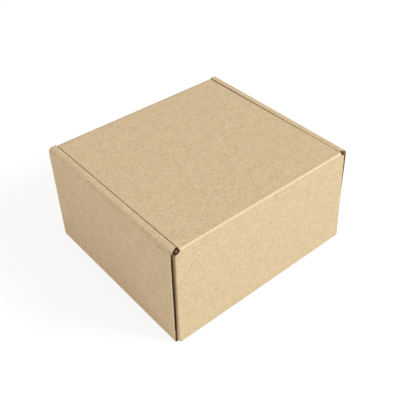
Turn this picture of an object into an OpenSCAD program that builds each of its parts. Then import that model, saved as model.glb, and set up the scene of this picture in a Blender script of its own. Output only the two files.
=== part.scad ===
// Mailing box folded from one die-cut sheet of fine-flute kraft corrugated board.
// The side walls roll over the dust flaps and lock into the floor with tabs.
// The lid runs on from the back wall and tucks in behind the front wall.
// X runs along the hinge crease, Y from front to back, Z up. The origin is the
// centre of the footprint on the surface that the box stands on.

/* [Box] */
// Outside width, along the hinge crease
box_w = 150; // [120:1:220]
// Outside depth, from the front wall to the back wall
box_d = 138; // [110:1:200]
// Outside height with the lid closed
box_h = 77; // [60:1:120]

/* [Board] */
// Thickness of the board
board_t = 1.5; // [1.4:0.05:1.8]
// Thickness of each flat liner
liner_t = 0.25; // [0.2:0.05:0.3]
// Thickness of the fluted paper between the liners
medium_t = 0.2; // [0.15:0.05:0.25]
// Distance from one flute to the next
flute_pitch = 3.3; // [3.1:0.1:3.8]
// Outside radius of a plain crease
crease_r = 1.3; // [0.8:0.1:1.4]

/* [Side walls] */
// Thickness of a rolled side wall, from its outer face to its inner face
side_w = 6.2; // [5.8:0.1:8]
// Outside radius where the outer panel rolls over at the top
roll_r = 3.2; // [2.4:0.1:3.8]
// Outside radius of the crease between the roll and the inner panel
seam_r = 0.7; // [0.5:0.1:1.3]
// How far the raw upright edges stand back from the front and back faces, at the roll
panel_inset = 1; // [0.5:0.1:1.5]
// How much further back the raw upright edges stand at the floor
panel_draw = 1.6; // [0.1:0.1:2]
// How far the roll's end at the back stands back from the back face, at the seam
roll_inset = 2.8; // [1.8:0.1:6]
// Gap between the inner panel's ends and the front and back walls
inner_gap = 0.25; // [0.2:0.05:4]
// Width of each locking tab at the foot of an inner panel
tab_w = 24; // [14:1:30]
// Distance from the middle of the side to the middle of a tab
tab_y = 30; // [20:1:36]
// Room around a tab in its slot
slot_gap = 0.25; // [0.2:0.05:0.5]

/* [Dust flaps] */
// Reach of a dust flap, from the face of its wall
flap_len = 45; // [25:1:50]
// Cut off the two corners of a dust flap's free end
flap_chamfer = 6; // [2:1:12]
// Gap between a dust flap and the outer panel it stands behind, at the floor
layer_gap = 0.2; // [0.15:0.05:0.5]
// Outside radius of the fold between a wall and its dust flap
fold_r = 0.7; // [0.6:0.1:1.3]
// How far a dust flap's fold draws in from the floor to the top
fold_draw = 1.1; // [0.5:0.1:1.2]
// Radius of the round relief at each end of the hinge crease
notch_r = 2.9; // [2.4:0.1:3.2]

/* [Lid] */
// Outside radius of the hinge crease
hinge_r = 1; // [0.8:0.05:1.2]
// Running gap between the hinge crease and the lid panel
hinge_gap = 0.1; // [0.05:0.01:0.2]
// Gap between the lid's side edges and the rolled walls
lid_gap = 0.3; // [0.25:0.05:0.8]
// How far the lid lies off the middle, towards +X
lid_shift = 0.05; // [0:0.05:0.15]
// How much more the lid's -X edge draws in at its front corner
lid_taper = 1; // [0:0.1:1.5]
// Gap between the tuck flap and the front wall
tuck_gap = 0.4; // [0.3:0.05:0.8]
// Height of the tuck flap
tuck_h = 32; // [20:1:42]
// Reach of the ears at the tuck flap's ends
ear_len = 22; // [12:1:32]
// Cut off the lower corner of an ear
ear_chamfer = 9; // [4:1:12]
// Gap between an ear's upper edge and the lid panel
ear_gap = 1.5; // [1:0.25:3]

/* [Hidden] */
$fn = 48;
kraft = "#d0b48c";
half_w = box_w / 2;
half_d = box_d / 2;
eps = 0.01;
// Clear height under the inner panels and the dust flaps
foot_gap = 0.2;
// Inner face of a rolled side wall, and length of its inner panel
inner_x = half_w - side_w;
inner_l = box_d - 2 * (board_t + inner_gap);
// Outer face of a dust flap at the floor and at the top, and so the half width of its wall
wall_x = half_w - board_t - layer_gap;
wall_top_x = wall_x - fold_draw;
fold_lean = atan(fold_draw / box_h);
// Half width of the lid and of the hinge crease
lid_x = inner_x - lid_gap;
// Axis of the hinge crease
hinge_y = half_d - hinge_r;
hinge_z = box_h - hinge_r;
// Rear edge of the lid panel and front face of its tuck flap
lid_rear_y = hinge_y - hinge_r - hinge_gap;
lid_front_y = -half_d + board_t + tuck_gap;
// Top of the dust flaps, and of the front wall under the lid's crease
flap_top = box_h - notch_r;
front_top = box_h - board_t - foot_gap;
// The tuck flap leans in so that its tip swings up clear of the front wall
tuck_reach = hinge_y - lid_front_y;
tuck_lean = asin(tuck_h / (2 * tuck_reach)) + 0.4;
// Shape of the gaps beside the fluted paper: run of its slope for each mm of rise
slope_run = 1.25;
slope_gap = 1.5 * medium_t;
core_t = board_t - 2 * liner_t;
gap_floor_w = (flute_pitch / 2 - slope_gap - slope_run * (core_t - 2 * medium_t)) / 2;
gap_mouth_w = gap_floor_w + slope_run * (core_t - medium_t);

// What a crease of radius r rounds off a square corner whose arc centre is the origin
module crease_off(r) {
    difference() {
        square(r + eps);
        circle(r = r);
    }
}

// Hollows between the fluted paper and its liners, along X, in a board that fills y = 0 to board_t
module flute_hollows(run) {
    count = floor(run / flute_pitch);
    for (i = [0 : count - 1])
        translate([(run - count * flute_pitch) / 2 + (i + 0.25) * flute_pitch, 0]) {
            polygon([
                [-gap_mouth_w, board_t - liner_t], [gap_mouth_w, board_t - liner_t],
                [gap_floor_w, liner_t + medium_t], [-gap_floor_w, liner_t + medium_t]
            ]);
            translate([flute_pitch / 2, 0])
                polygon([
                    [-gap_mouth_w, liner_t], [gap_mouth_w, liner_t],
                    [gap_floor_w, board_t - liner_t - medium_t],
                    [-gap_floor_w, board_t - liner_t - medium_t]
                ]);
        }
}

// Extrude a shape drawn in X and Z along Y, from -length / 2 to length / 2
module along_y(length) {
    rotate([90, 0, 0])
        linear_extrude(length, center = true)
            children();
}

// Extrude a shape drawn in Y and Z along X, from -length / 2 to length / 2
module along_x(length) {
    rotate([90, 0, 90])
        linear_extrude(length, center = true)
            children();
}

// A child and its mirror image at the other side of the box
module both_sides() {
    children();
    mirror([1, 0, 0])
        children();
}

// Section of the floor's side edge and the upright outer panel, with its flutes running along Y
module outer_panel_section() {
    run = box_h - roll_r - board_t;
    translate([wall_x - crease_r - eps, 0])
        square([half_w - wall_x + crease_r + eps, board_t]);
    difference() {
        translate([half_w - board_t, 0])
            square([board_t, box_h - roll_r]);
        translate([half_w, board_t])
            rotate(90)
                flute_hollows(run);
    }
}

// Section of the strip that rolls over the top, from the outer panel to the seam
module roll_section() {
    translate([half_w - roll_r, box_h - roll_r])
        difference() {
            intersection() {
                circle(r = roll_r);
                square(roll_r);
            }
            circle(r = roll_r - board_t);
        }
    difference() {
        translate([inner_x, box_h - board_t])
            square([half_w - roll_r - inner_x, board_t]);
        translate([inner_x + seam_r, box_h - seam_r])
            mirror([1, 0])
                crease_off(seam_r);
    }
}

// Section of the inner panel, from the roll down to just above the floor
module inner_panel_section() {
    foot = board_t + foot_gap;
    translate([inner_x, foot])
        square([board_t, box_h - board_t - foot + eps]);
}

// What is cut off the outer panel's end at +Y, whose raw edge stands further back at the floor
module panel_end_cut() {
    translate([inner_x - eps, half_d - panel_inset, box_h])
        rotate([-atan(panel_draw / box_h), 0, 0])
            translate([0, 0, -2 * box_h])
                cube([side_w + 2 * eps, half_d, 3 * box_h]);
}

// What is cut off the roll's end at +Y, which slants back from the outer panel to the seam
module roll_end_cut() {
    outer_end = half_d - panel_inset;
    seam_end = half_d - roll_inset;
    translate([0, 0, box_h - roll_r])
        linear_extrude(roll_r + eps)
            polygon([
                [half_w - board_t, outer_end], [inner_x + board_t, seam_end],
                [inner_x - eps, seam_end], [inner_x - eps, half_d], [half_w - board_t, half_d]
            ]);
}

module side_wall() {
    difference() {
        along_y(box_d) {
            outer_panel_section();
            roll_section();
        }
        panel_end_cut();
        mirror([0, 1, 0])
            panel_end_cut();
        roll_end_cut();
    }
    along_y(inner_l)
        inner_panel_section();
    for (side = [-1, 1])
        translate([inner_x, side * tab_y - tab_w / 2, foot_gap])
            cube([board_t, tab_w, board_t + eps]);
}

// The floor, as wide as the creases of the front and back walls
module floor_panel() {
    difference() {
        translate([-wall_x + crease_r, -half_d, 0])
            cube([2 * (wall_x - crease_r), box_d, board_t]);
        both_sides()
            for (side = [-1, 1])
                translate([inner_x - slot_gap, side * tab_y - tab_w / 2 - slot_gap, -eps])
                    cube([board_t + 2 * slot_gap, tab_w + 2 * slot_gap, board_t + 2 * eps]);
    }
}

// Stand a child up at the +X end of a wall, leaning in as the fold and the dust flap do
module leaning() {
    translate([wall_x, 0, 0])
        rotate([0, -fold_lean, 0])
            translate([0, 0, -board_t])
                linear_extrude(box_h + 2 * board_t)
                    children();
}

// Plan of what is outside the fold of a wall at +Y, where the dust flap's outer face is x = 0
module fold_outside() {
    difference() {
        translate([-fold_r, half_d - flap_len - 1])
            square([half_w, flap_len + 2]);
        translate([-fold_r, half_d - fold_r])
            circle(r = fold_r);
        translate([-2 * fold_r, half_d - flap_len - 2])
            square([2 * fold_r, flap_len + 2 - fold_r]);
    }
}

// What is cut off the two corners of a dust flap's free end
module flap_corner_cut(z) {
    translate([0, half_d - flap_len, z])
        rotate([45, 0, 0])
            cube([box_w + 1, flap_chamfer * sqrt(2), flap_chamfer * sqrt(2)], center = true);
}

// The wall at +Y up to its dust flaps' upper edges, with the flaps folded back at both ends
module folded_wall() {
    foot = board_t + foot_gap;
    foot_x = wall_x - board_t - foot_gap;
    difference() {
        union() {
            translate([-half_w, half_d - board_t, foot])
                cube([box_w, board_t, flap_top - foot]);
            both_sides()
                intersection() {
                    leaning()
                        translate([-board_t, half_d - flap_len])
                            square([2 * board_t, flap_len - board_t / 2]);
                    translate([0, 0, foot])
                        cube([2 * half_w, half_d, flap_top - foot]);
                }
        }
        both_sides()
            leaning()
                fold_outside();
        flap_corner_cut(foot);
        flap_corner_cut(flap_top);
    }
    translate([-foot_x, half_d - board_t, 0])
        cube([2 * foot_x, board_t, foot + eps]);
}

// Back wall, up to the hinge crease that the lid turns on
module back_wall() {
    folded_wall();
    difference() {
        union() {
            translate([-lid_x - notch_r, half_d - board_t, flap_top - eps])
                cube([2 * (lid_x + notch_r), board_t, hinge_z - flap_top + eps]);
            translate([0, hinge_y, hinge_z])
                rotate([0, 90, 0])
                    cylinder(h = 2 * (lid_x + notch_r), r = hinge_r, center = true);
        }
        both_sides()
            translate([lid_x + notch_r, half_d, box_h])
                rotate([90, 0, 0])
                    cylinder(h = 4 * board_t, r = notch_r, center = true);
    }
}

// Front wall, with its flutes open at the raw top edge
module front_wall() {
    flute_run = 2 * (wall_top_x - notch_r);
    mirror([0, 1, 0])
        difference() {
            union() {
                folded_wall();
                translate([-flute_run / 2, half_d - board_t, flap_top - eps])
                    cube([flute_run, board_t, front_top - flap_top + eps]);
            }
            translate([-flute_run / 2, half_d - board_t, board_t + foot_gap])
                linear_extrude(box_h)
                    flute_hollows(flute_run);
        }
}

module tray() {
    color(kraft)
        difference() {
            union() {
                floor_panel();
                both_sides()
                    side_wall();
                back_wall();
                front_wall();
            }
            both_sides()
                along_y(box_d + 2 * eps)
                    translate([half_w - crease_r, crease_r])
                        mirror([0, 1])
                            crease_off(crease_r);
            for (side = [0, 1])
                mirror([0, side, 0])
                    along_x(box_w + 2 * eps)
                        translate([half_d - crease_r, crease_r])
                            mirror([0, 1])
                                crease_off(crease_r);
        }
}

// Plan of the tuck flap with an ear folded back at each end, flap face at y = -crease_r
module tuck_plan() {
    difference() {
        union() {
            translate([-lid_x + lid_taper, -crease_r])
                square([2 * lid_x - lid_taper, board_t]);
            translate([lid_x - board_t, -crease_r])
                square([board_t, ear_len]);
            translate([-lid_x + lid_taper, -crease_r])
                square([board_t, ear_len]);
        }
        translate([lid_x - crease_r, 0])
            mirror([0, 1])
                crease_off(crease_r);
        translate([-lid_x + lid_taper + crease_r, 0])
            rotate(180)
                crease_off(crease_r);
        translate([-lid_x + lid_taper + 2 * board_t, -crease_r])
            flute_hollows(2 * lid_x - lid_taper - 4 * board_t);
    }
}

// Tuck flap and ears, hanging down from the crease that lies along X through the origin
module tuck_flap() {
    top = board_t - crease_r + ear_gap;
    difference() {
        translate([0, 0, -tuck_h])
            linear_extrude(tuck_h - top)
                tuck_plan();
        translate([0, ear_len - crease_r, -tuck_h])
            rotate([45, 0, 0])
                cube([box_w, ear_chamfer * sqrt(2), ear_chamfer * sqrt(2)], center = true);
    }
    translate([-lid_x + lid_taper + crease_r, -crease_r, -top - eps])
        cube([2 * (lid_x - crease_r) - lid_taper, board_t, top + eps]);
    rotate([0, 90, 0])
        translate([0, 0, -lid_x + lid_taper])
            cylinder(h = 2 * lid_x - lid_taper, r = crease_r);
}

module lid() {
    crease_y = lid_front_y + crease_r;
    color(kraft)
        translate([lid_shift, 0, 0]) {
            translate([0, 0, box_h - board_t])
                linear_extrude(board_t)
                    polygon([
                        [lid_x, crease_y], [lid_x, lid_rear_y],
                        [-lid_x, lid_rear_y], [-lid_x + lid_taper, crease_y]
                    ]);
            translate([0, crease_y, box_h - crease_r])
                rotate([tuck_lean, 0, 0])
                    tuck_flap();
        }
}

tray();
lid();
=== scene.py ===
import math

import bmesh
import bpy
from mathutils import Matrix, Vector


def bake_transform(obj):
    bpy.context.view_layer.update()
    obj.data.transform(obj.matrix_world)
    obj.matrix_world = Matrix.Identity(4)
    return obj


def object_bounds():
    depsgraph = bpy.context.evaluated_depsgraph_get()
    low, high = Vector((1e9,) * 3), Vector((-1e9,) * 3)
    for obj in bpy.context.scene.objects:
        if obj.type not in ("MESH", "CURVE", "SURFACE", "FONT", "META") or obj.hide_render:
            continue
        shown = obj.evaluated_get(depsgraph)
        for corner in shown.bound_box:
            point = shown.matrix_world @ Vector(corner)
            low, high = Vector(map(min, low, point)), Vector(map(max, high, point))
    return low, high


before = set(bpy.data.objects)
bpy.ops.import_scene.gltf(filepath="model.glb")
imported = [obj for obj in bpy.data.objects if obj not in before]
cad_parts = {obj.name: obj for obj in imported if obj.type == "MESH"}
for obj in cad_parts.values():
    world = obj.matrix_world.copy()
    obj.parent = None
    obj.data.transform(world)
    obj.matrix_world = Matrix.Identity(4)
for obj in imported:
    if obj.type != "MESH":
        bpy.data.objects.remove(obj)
cad_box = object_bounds()
scene = bpy.context.scene
scene.view_settings.view_transform = "Standard"


# Sizes of the box in mm, named as in the part's source, and then the places that
# they give. The outer three come from the frame, with x = y = 0 in the middle.
MM = 0.001
half_w, half_d, box_h = (round(reach / MM, 3) for reach in cad_box[1])
board_t, liner_t = 1.5, 0.25
side_w, roll_r, roll_inset = 6.2, 3.2, 2.8
panel_inset, panel_draw = 1, 1.6
flap_len, layer_gap, foot_gap, fold_draw, notch_r = 45, 0.2, 0.2, 1.1, 2.9
hinge_r, hinge_gap, lid_gap, lid_shift, lid_taper = 1, 0.1, 0.3, 0.05, 1

inner_x = half_w - side_w
roll_x, roll_z = half_w - roll_r, box_h - roll_r
panel_end = half_d - panel_inset
wall_x = half_w - board_t - layer_gap
wall_top_x = wall_x - fold_draw
lid_x = inner_x - lid_gap
notch_x = lid_x + notch_r
flap_top = box_h - notch_r
front_top = box_h - board_t - foot_gap
hinge_y, hinge_z = half_d - hinge_r, box_h - hinge_r
lid_rear_y = hinge_y - hinge_r - hinge_gap


# Camera: it looks down on the corner where the back wall meets the right side
# wall, as the photograph does. The lens is shifted, because the photograph's
# upright edges converge less than they do from a lens that looks straight at it.
look_down, heading = math.radians(34.853), math.radians(137.958)
camera = bpy.data.objects.new("camera", bpy.data.cameras.new("camera"))
camera.data.lens = 61.15
camera.data.shift_x = -0.1
camera.data.shift_y = -0.15
camera.data.clip_start = 0.01
camera.location = (0.22936, 0.2976, 0.34499)
camera.rotation_euler = (math.radians(90) - look_down, 0, heading)
scene.collection.objects.link(camera)
scene.camera = camera


def add(tree, kind, settings=None, inputs=None):
    """Adds a node. inputs holds values, or sockets to link, by the input's name or number."""
    node = tree.nodes.new("ShaderNode" + kind)
    for key, value in (settings or {}).items():
        setattr(node, key, value)
    for key, value in (inputs or {}).items():
        if isinstance(value, bpy.types.NodeSocket):
            tree.links.new(value, node.inputs[key])
        else:
            node.inputs[key].default_value = value
    return node


def grey(level):
    """The linear RGBA of a grey."""
    return (level, level, level, 1)


# Studio table: a sheet of matt white paper that runs out of the picture. The
# camera sees it close to white, and it still takes the box's soft shadow.
paper = bpy.data.materials.new("matt_white_table_paper")
paper.use_nodes = True
tree = paper.node_tree
tree.nodes.clear()
seen = add(tree, "LightPath").outputs["Is Camera Ray"]
bounced = add(tree, "BsdfDiffuse", inputs={"Color": grey(0.78)})
shaded = add(tree, "BsdfDiffuse", inputs={"Color": grey(0.2)})
lifted = add(tree, "Emission", inputs={"Color": grey(1), "Strength": 0.83})
shown = add(tree, "AddShader", inputs={0: shaded.outputs[0], 1: lifted.outputs[0]})
table_mix = add(tree, "MixShader", inputs={0: seen, 1: bounced.outputs[0], 2: shown.outputs[0]})
add(tree, "OutputMaterial", inputs={"Surface": table_mix.outputs[0]})

bm = bmesh.new()
bmesh.ops.create_grid(bm, x_segments=1, y_segments=1, size=4)
table = bpy.data.objects.new("table", bpy.data.meshes.new("table"))
bm.to_mesh(table.data)
bm.free()
table.data.materials.append(paper)
scene.collection.objects.link(table)


# Studio light: even, slightly warm surroundings and two slightly cool lamps. The
# large one, high on the back wall's side, makes that wall the brightest face. The
# weaker one, low on the picture's left, leaves the seams dark.
scene.world = bpy.data.worlds.new("studio")
scene.world.use_nodes = True
tree = scene.world.node_tree
tree.nodes.clear()
seen = add(tree, "LightPath").outputs["Is Camera Ray"]
around = add(tree, "Background", inputs={"Color": (1, 0.92, 0.9, 1), "Strength": 0.545})
white = add(tree, "Background", inputs={"Color": grey(1), "Strength": 1})
sky_mix = add(tree, "MixShader", inputs={0: seen, 1: around.outputs[0], 2: white.outputs[0]})
add(tree, "OutputWorld", inputs={"Surface": sky_mix.outputs[0]})

for name, place, size, watts, colour in (
    ("soft_box_right", (-1.4, 1.93, 1.72), 1.12, 71.3, (0.9, 1, 1)),
    ("soft_box_left", (1.12, -0.4, 0.2), 0.34, 3.28, (0.87, 0.93, 1)),
):
    lamp = bpy.data.objects.new(name, bpy.data.lights.new(name, "AREA"))
    lamp.data.shape = "SQUARE"
    lamp.data.size = size
    lamp.data.energy = watts
    lamp.data.color = colour
    lamp.location = place
    lamp.rotation_euler = lamp.location.to_track_quat("Z", "Y").to_euler()
    scene.collection.objects.link(lamp)


# Board of the whole box: fine-flute corrugated board, 1.5 mm thick, with a kraft
# liner on both faces. The paper is brown, matt and mottled, with specks of bark
# and darker fibre, and its cut edges show the darker fluted paper inside, painted
# darker still as shade in the flutes. Worn edges are pale, partly as a painted highlight.
def linear(colour):
    """The linear RGBA of a hex colour."""
    parts = [int(colour[i : i + 2], 16) / 255 for i in (1, 3, 5)]
    return [p / 12.92 if p <= 0.04045 else ((p + 0.055) / 1.055) ** 2.4 for p in parts] + [1]


def noise(tree, place, waves, detail, roughness=0.5):
    """A noise from 0 to 1, with so many waves to a metre."""
    inputs = {"Vector": place, "Scale": waves, "Detail": detail, "Roughness": roughness}
    return add(tree, "TexNoise", inputs=inputs).outputs[0]


def remap(tree, value, low, high, to_low=0, to_high=1):
    """A value from low to high, spread from to_low to to_high."""
    inputs = {0: value, 1: low, 2: high, 3: to_low, 4: to_high}
    return add(tree, "MapRange", inputs=inputs).outputs[0]


def maths(tree, operation, first, second=0, third=0):
    """The result of a Math node."""
    inputs = {0: first, 1: second, 2: third}
    return add(tree, "Math", {"operation": operation}, inputs).outputs[0]


def distance(tree, across, up):
    """How far a point lies from an axis, from its two distances along the axes across that."""
    vector = add(tree, "CombineXYZ", inputs={0: across, 1: up})
    return add(tree, "VectorMath", {"operation": "LENGTH"}, {0: vector.outputs[0]}).outputs["Value"]


def mix(tree, part, first, second):
    """The first colour where part is 0, the second where it is 1."""
    return add(tree, "Mix", {"data_type": "RGBA"}, {0: part, 6: first, 7: second}).outputs[2]


def liner_colour(tree, place):
    """The colour of the kraft liner at a place."""
    # formation of the paper, from faint 8 mm clouds down to 0.5 mm flecks
    clouds = noise(tree, place, waves=130, detail=1)
    flecks = noise(tree, place, waves=850, detail=2, roughness=0.75)
    stretch = {"Vector": place, "Scale": (1, 0.25, 1), "Rotation": (0.3, 0.5, 0.9)}
    hairs = noise(tree, add(tree, "Mapping", inputs=stretch).outputs[0], waves=1500, detail=1)
    cloud_tone = remap(tree, clouds, 0.25, 0.75, 0.965, 1.035)
    fleck_tone = remap(tree, flecks, 0.25, 0.75, 0.82, 1.18)
    hair_tone = remap(tree, hairs, 0.3, 0.7, 0.93, 1.07)
    tone = maths(tree, "MULTIPLY", maths(tree, "MULTIPLY", cloud_tone, fleck_tone), hair_tone)
    tint = remap(tree, noise(tree, place, waves=300, detail=1), 0.3, 0.7)
    pulp = mix(tree, tint, linear("#d4ba98"), linear("#d1ba92"))
    toned = add(tree, "VectorMath", {"operation": "SCALE"}, {0: pulp, "Scale": tone}).outputs[0]

    # specks of bark, one to a 7 mm cell, up to 0.5 mm in radius and half as dark as bark
    cells = add(tree, "TexVoronoi", inputs={"Vector": place, "Scale": 140})
    chance = add(tree, "SeparateColor", inputs={0: cells.outputs["Color"]}).outputs[0]
    speck_r = remap(tree, chance, 0.3, 1, 0, 0.07)
    speck = maths(tree, "LESS_THAN", cells.outputs["Distance"], speck_r)
    return mix(tree, maths(tree, "MULTIPLY", speck, 0.5), toned, linear("#8a6a43"))


def edge_measures(tree, place):
    """What the limits of an edge measure: where a place lies on the box, by a name for each."""
    split = add(tree, "SeparateXYZ", inputs={0: place})
    signed_x, signed_y, z = split.outputs
    x = maths(tree, "ABSOLUTE", signed_x)
    y = maths(tree, "ABSOLUTE", signed_y)
    past_roll_x = maths(tree, "MAXIMUM", maths(tree, "SUBTRACT", x, roll_x * MM))
    past_roll_z = maths(tree, "MAXIMUM", maths(tree, "SUBTRACT", z, roll_z * MM))
    from_notch_x = maths(tree, "SUBTRACT", x, notch_x * MM)
    below_top = maths(tree, "SUBTRACT", box_h * MM, z)
    return {
        # only this one tells one side wall from the other
        "signed_x": signed_x,
        # from the middle outwards
        "x": x,
        "y": y,
        "z": z,
        # the same y where the upright cut ends lean
        "leaning_y": maths(tree, "MULTIPLY_ADD", below_top, panel_draw / box_h, y),
        # distance from the axis of the side wall's roll, and of the notch
        "roll": distance(tree, past_roll_x, past_roll_z),
        "notch": distance(tree, from_notch_x, maths(tree, "SUBTRACT", z, box_h * MM)),
    }


def kraft_board(name, raw_and_shaded_edges, worn_and_highlit_edges):
    """Kraft board. An edge is a list of limits, each a measure and what it lies between in mm."""
    material = bpy.data.materials.new(name)
    material.use_nodes = True
    tree = material.node_tree
    tree.nodes.clear()
    place = add(tree, "TexCoord").outputs["Object"]

    # raw edges show the dark fluted paper, painted darker as shade; worn ones the pale broken
    # liner, partly a painted highlight
    colour = liner_colour(tree, place)
    measures = edge_measures(tree, place)
    for edges, shade, strength in ((raw_and_shaded_edges, "#563c1c", 1), (worn_and_highlit_edges, "#f0dcb4", 0.5)):
        for limits in edges:
            mask = strength
            for measure, low, high in limits:
                middle, reach = (low + high) / 2 * MM, (high - low) / 2 * MM
                within = maths(tree, "COMPARE", measures[measure], middle, reach)
                mask = maths(tree, "MULTIPLY", within, mask)
            colour = mix(tree, mask, colour, linear(shade))

    # matt paper: the fibres stand up by a few hundredths of a millimetre
    fibres = noise(tree, place, waves=1400, detail=2)
    relief = {"Height": fibres, "Strength": 0.5, "Distance": 0.04 * MM}
    surface = add(
        tree,
        "BsdfPrincipled",
        inputs={
            "Base Color": colour,
            "Roughness": 0.85,
            "IOR": 1.5,
            "Specular IOR Level": 0.25,
            "Normal": add(tree, "Bump", inputs=relief).outputs[0],
        },
    )
    add(tree, "OutputMaterial", inputs={"Surface": surface.outputs[0]})
    return material


# Tray: floor, walls and dust flaps. The upright cut ends of the side panels show
# dark fluted paper, with painted shade deep in the flutes, behind the pale edge of
# the outer liner, which is partly frayed and partly a painted highlight.
near = 0.1  # a limit passes a face by this much, to take the whole face in
# painted shade: how deep into the open flutes, and from what height up, they are painted dark
shaded_hollow_depth, shaded_hollow_foot = 8, 10  # how far the open flutes show dark, and their lowest one
# painted light: only this band of the left roll's end is painted dark, so the rest reads as lit by
# the lamp
lit_end_dark_low, lit_end_dark_high = 1.9, 2.5  # what shows dark of the left roll's end, from its axis
roll_end = [("y", half_d - roll_inset - near, panel_end + near), ("z", roll_z, box_h)]
tray_raw_and_shaded_edges = [
    # upright cut end of an outer panel, and painted shade deep in the hollows of its flutes
    [
        ("x", half_w - board_t - near, half_w - liner_t),
        ("leaning_y", panel_end - near, panel_end + near),
        ("z", 2 * near, roll_z + near),
    ],
    [
        ("x", half_w - board_t + near, half_w - liner_t),
        ("leaning_y", panel_end - shaded_hollow_depth, panel_end),
        ("z", shaded_hollow_foot, roll_z + near),
    ],
    # cut end of the right roll, and of the left one, painted dark over a narrower band as painted
    # light, where the lamp falls on it
    [
        ("roll", roll_r - board_t - near, roll_r - liner_t),
        ("signed_x", inner_x + near, half_w),
        *roll_end,
    ],
    [
        ("roll", lit_end_dark_low, lit_end_dark_high),
        ("signed_x", -half_w, -inner_x - near),
        *roll_end,
    ],
    # round relief at each end of the hinge crease
    [
        ("notch", notch_r - near, notch_r + near),
        ("x", lid_x - 2 * near, notch_x + notch_r),
        ("y", half_d - board_t + near, half_d - liner_t + near),
        ("z", flap_top - near, box_h),
    ],
    # top edge of a dust flap, and of the front wall
    [
        ("x", wall_top_x - board_t - near, wall_x + near),
        ("y", half_d - flap_len, half_d - 2 * near),
        ("z", flap_top - near, flap_top + near),
    ],
    [
        ("x", 0, wall_top_x - notch_r + near),
        ("y", half_d - board_t + liner_t, half_d - liner_t),
        ("z", front_top - near, front_top + near),
    ],
]
# pale edge of the outer liner, beside the upright cut end: partly frayed fibres, partly a painted
# highlight where the edge catches the light
tray_worn_and_highlit_edge = [
    ("x", half_w - liner_t, half_w + near),
    ("leaning_y", panel_end - 3 * near, panel_end + near),
    ("z", 0, roll_z + 2 * near),
]
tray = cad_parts["tray"]
tray.data.materials.clear()
tray.data.materials.append(kraft_board("kraft_board_tray", tray_raw_and_shaded_edges, [tray_worn_and_highlit_edge]))


# Lid, with its tuck flap and ears, from the same sheet. Its side edges are cut
# edges, dark below the pale outer liner, and painted darker still as the shade in the seams.
below_liner = ("z", box_h - board_t + near / 2, box_h - liner_t)
pale_run = 1.1  # how much of the left edge stays pale beside the crease
lid_raw_and_shaded_edges = [
    # right edge, and the left one, which draws in towards the front
    [("x", lid_x, lid_x + 2 * lid_shift), below_liner],
    [
        ("x", lid_x - lid_taper - 2 * near, lid_x),
        ("y", 0, lid_rear_y - pale_run),
        below_liner,
    ],
]
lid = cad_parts["lid"]
lid.data.materials.clear()
lid.data.materials.append(kraft_board("kraft_board_lid", lid_raw_and_shaded_edges, []))


# Crease liner: the outer paper of the sheet, which bends without a break from
# the back wall over the hinge crease and onto the lid. Its bend is painted pale,
# partly for stretched fibres and partly as a painted highlight.
proud, paper_t, side_inset = 0.05, 0.2, 0.05
run, wall_rise, lid_rise = 3.5, 0.7, 0.8  # its reach on each face, where it rises to stand proud
bend_r, bend_steps = hinge_r + proud, 12
# painted highlight, partly stretched pale fibres: the bend is painted pale from this far up
highlight_from = 0.15  # above the crease's axis
left, right = lid_shift - lid_x + side_inset, lid_shift + lid_x - side_inset
section = [(half_d, box_h - run), (half_d + proud, box_h - run + wall_rise)]
for step in range(bend_steps + 1):
    turn = math.radians(90 * step / bend_steps)
    section.append((hinge_y + bend_r * math.cos(turn), hinge_z + bend_r * math.sin(turn)))
section += [(half_d - run + lid_rise, box_h + proud), (half_d - run, box_h)]
inner_side = [(y - paper_t, z - paper_t) for y, z in reversed(section)]

bm = bmesh.new()
end = bm.faces.new([bm.verts.new((left * MM, y * MM, z * MM)) for y, z in section + inner_side])
swept = bmesh.ops.extrude_face_region(bm, geom=[end])
moved = [v for v in swept["geom"] if isinstance(v, bmesh.types.BMVert)]
bmesh.ops.translate(bm, verts=moved, vec=((right - left) * MM, 0, 0))
bmesh.ops.recalc_face_normals(bm, faces=bm.faces[:])
crease = bpy.data.objects.new("crease_liner", bpy.data.meshes.new("crease_liner"))
bm.to_mesh(crease.data)
bm.free()
scene.collection.objects.link(crease)
# painted highlight along the bend, partly the pale of stretched fibres
worn_and_highlit_bend = [("y", hinge_y + near, half_d + near), ("z", hinge_z + highlight_from, box_h + near)]
crease.data.materials.append(kraft_board("kraft_board_crease", [], [worn_and_highlit_bend]))
crease.data.shade_smooth()
crease.data.set_sharp_from_angle(angle=math.radians(30))
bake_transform(crease)
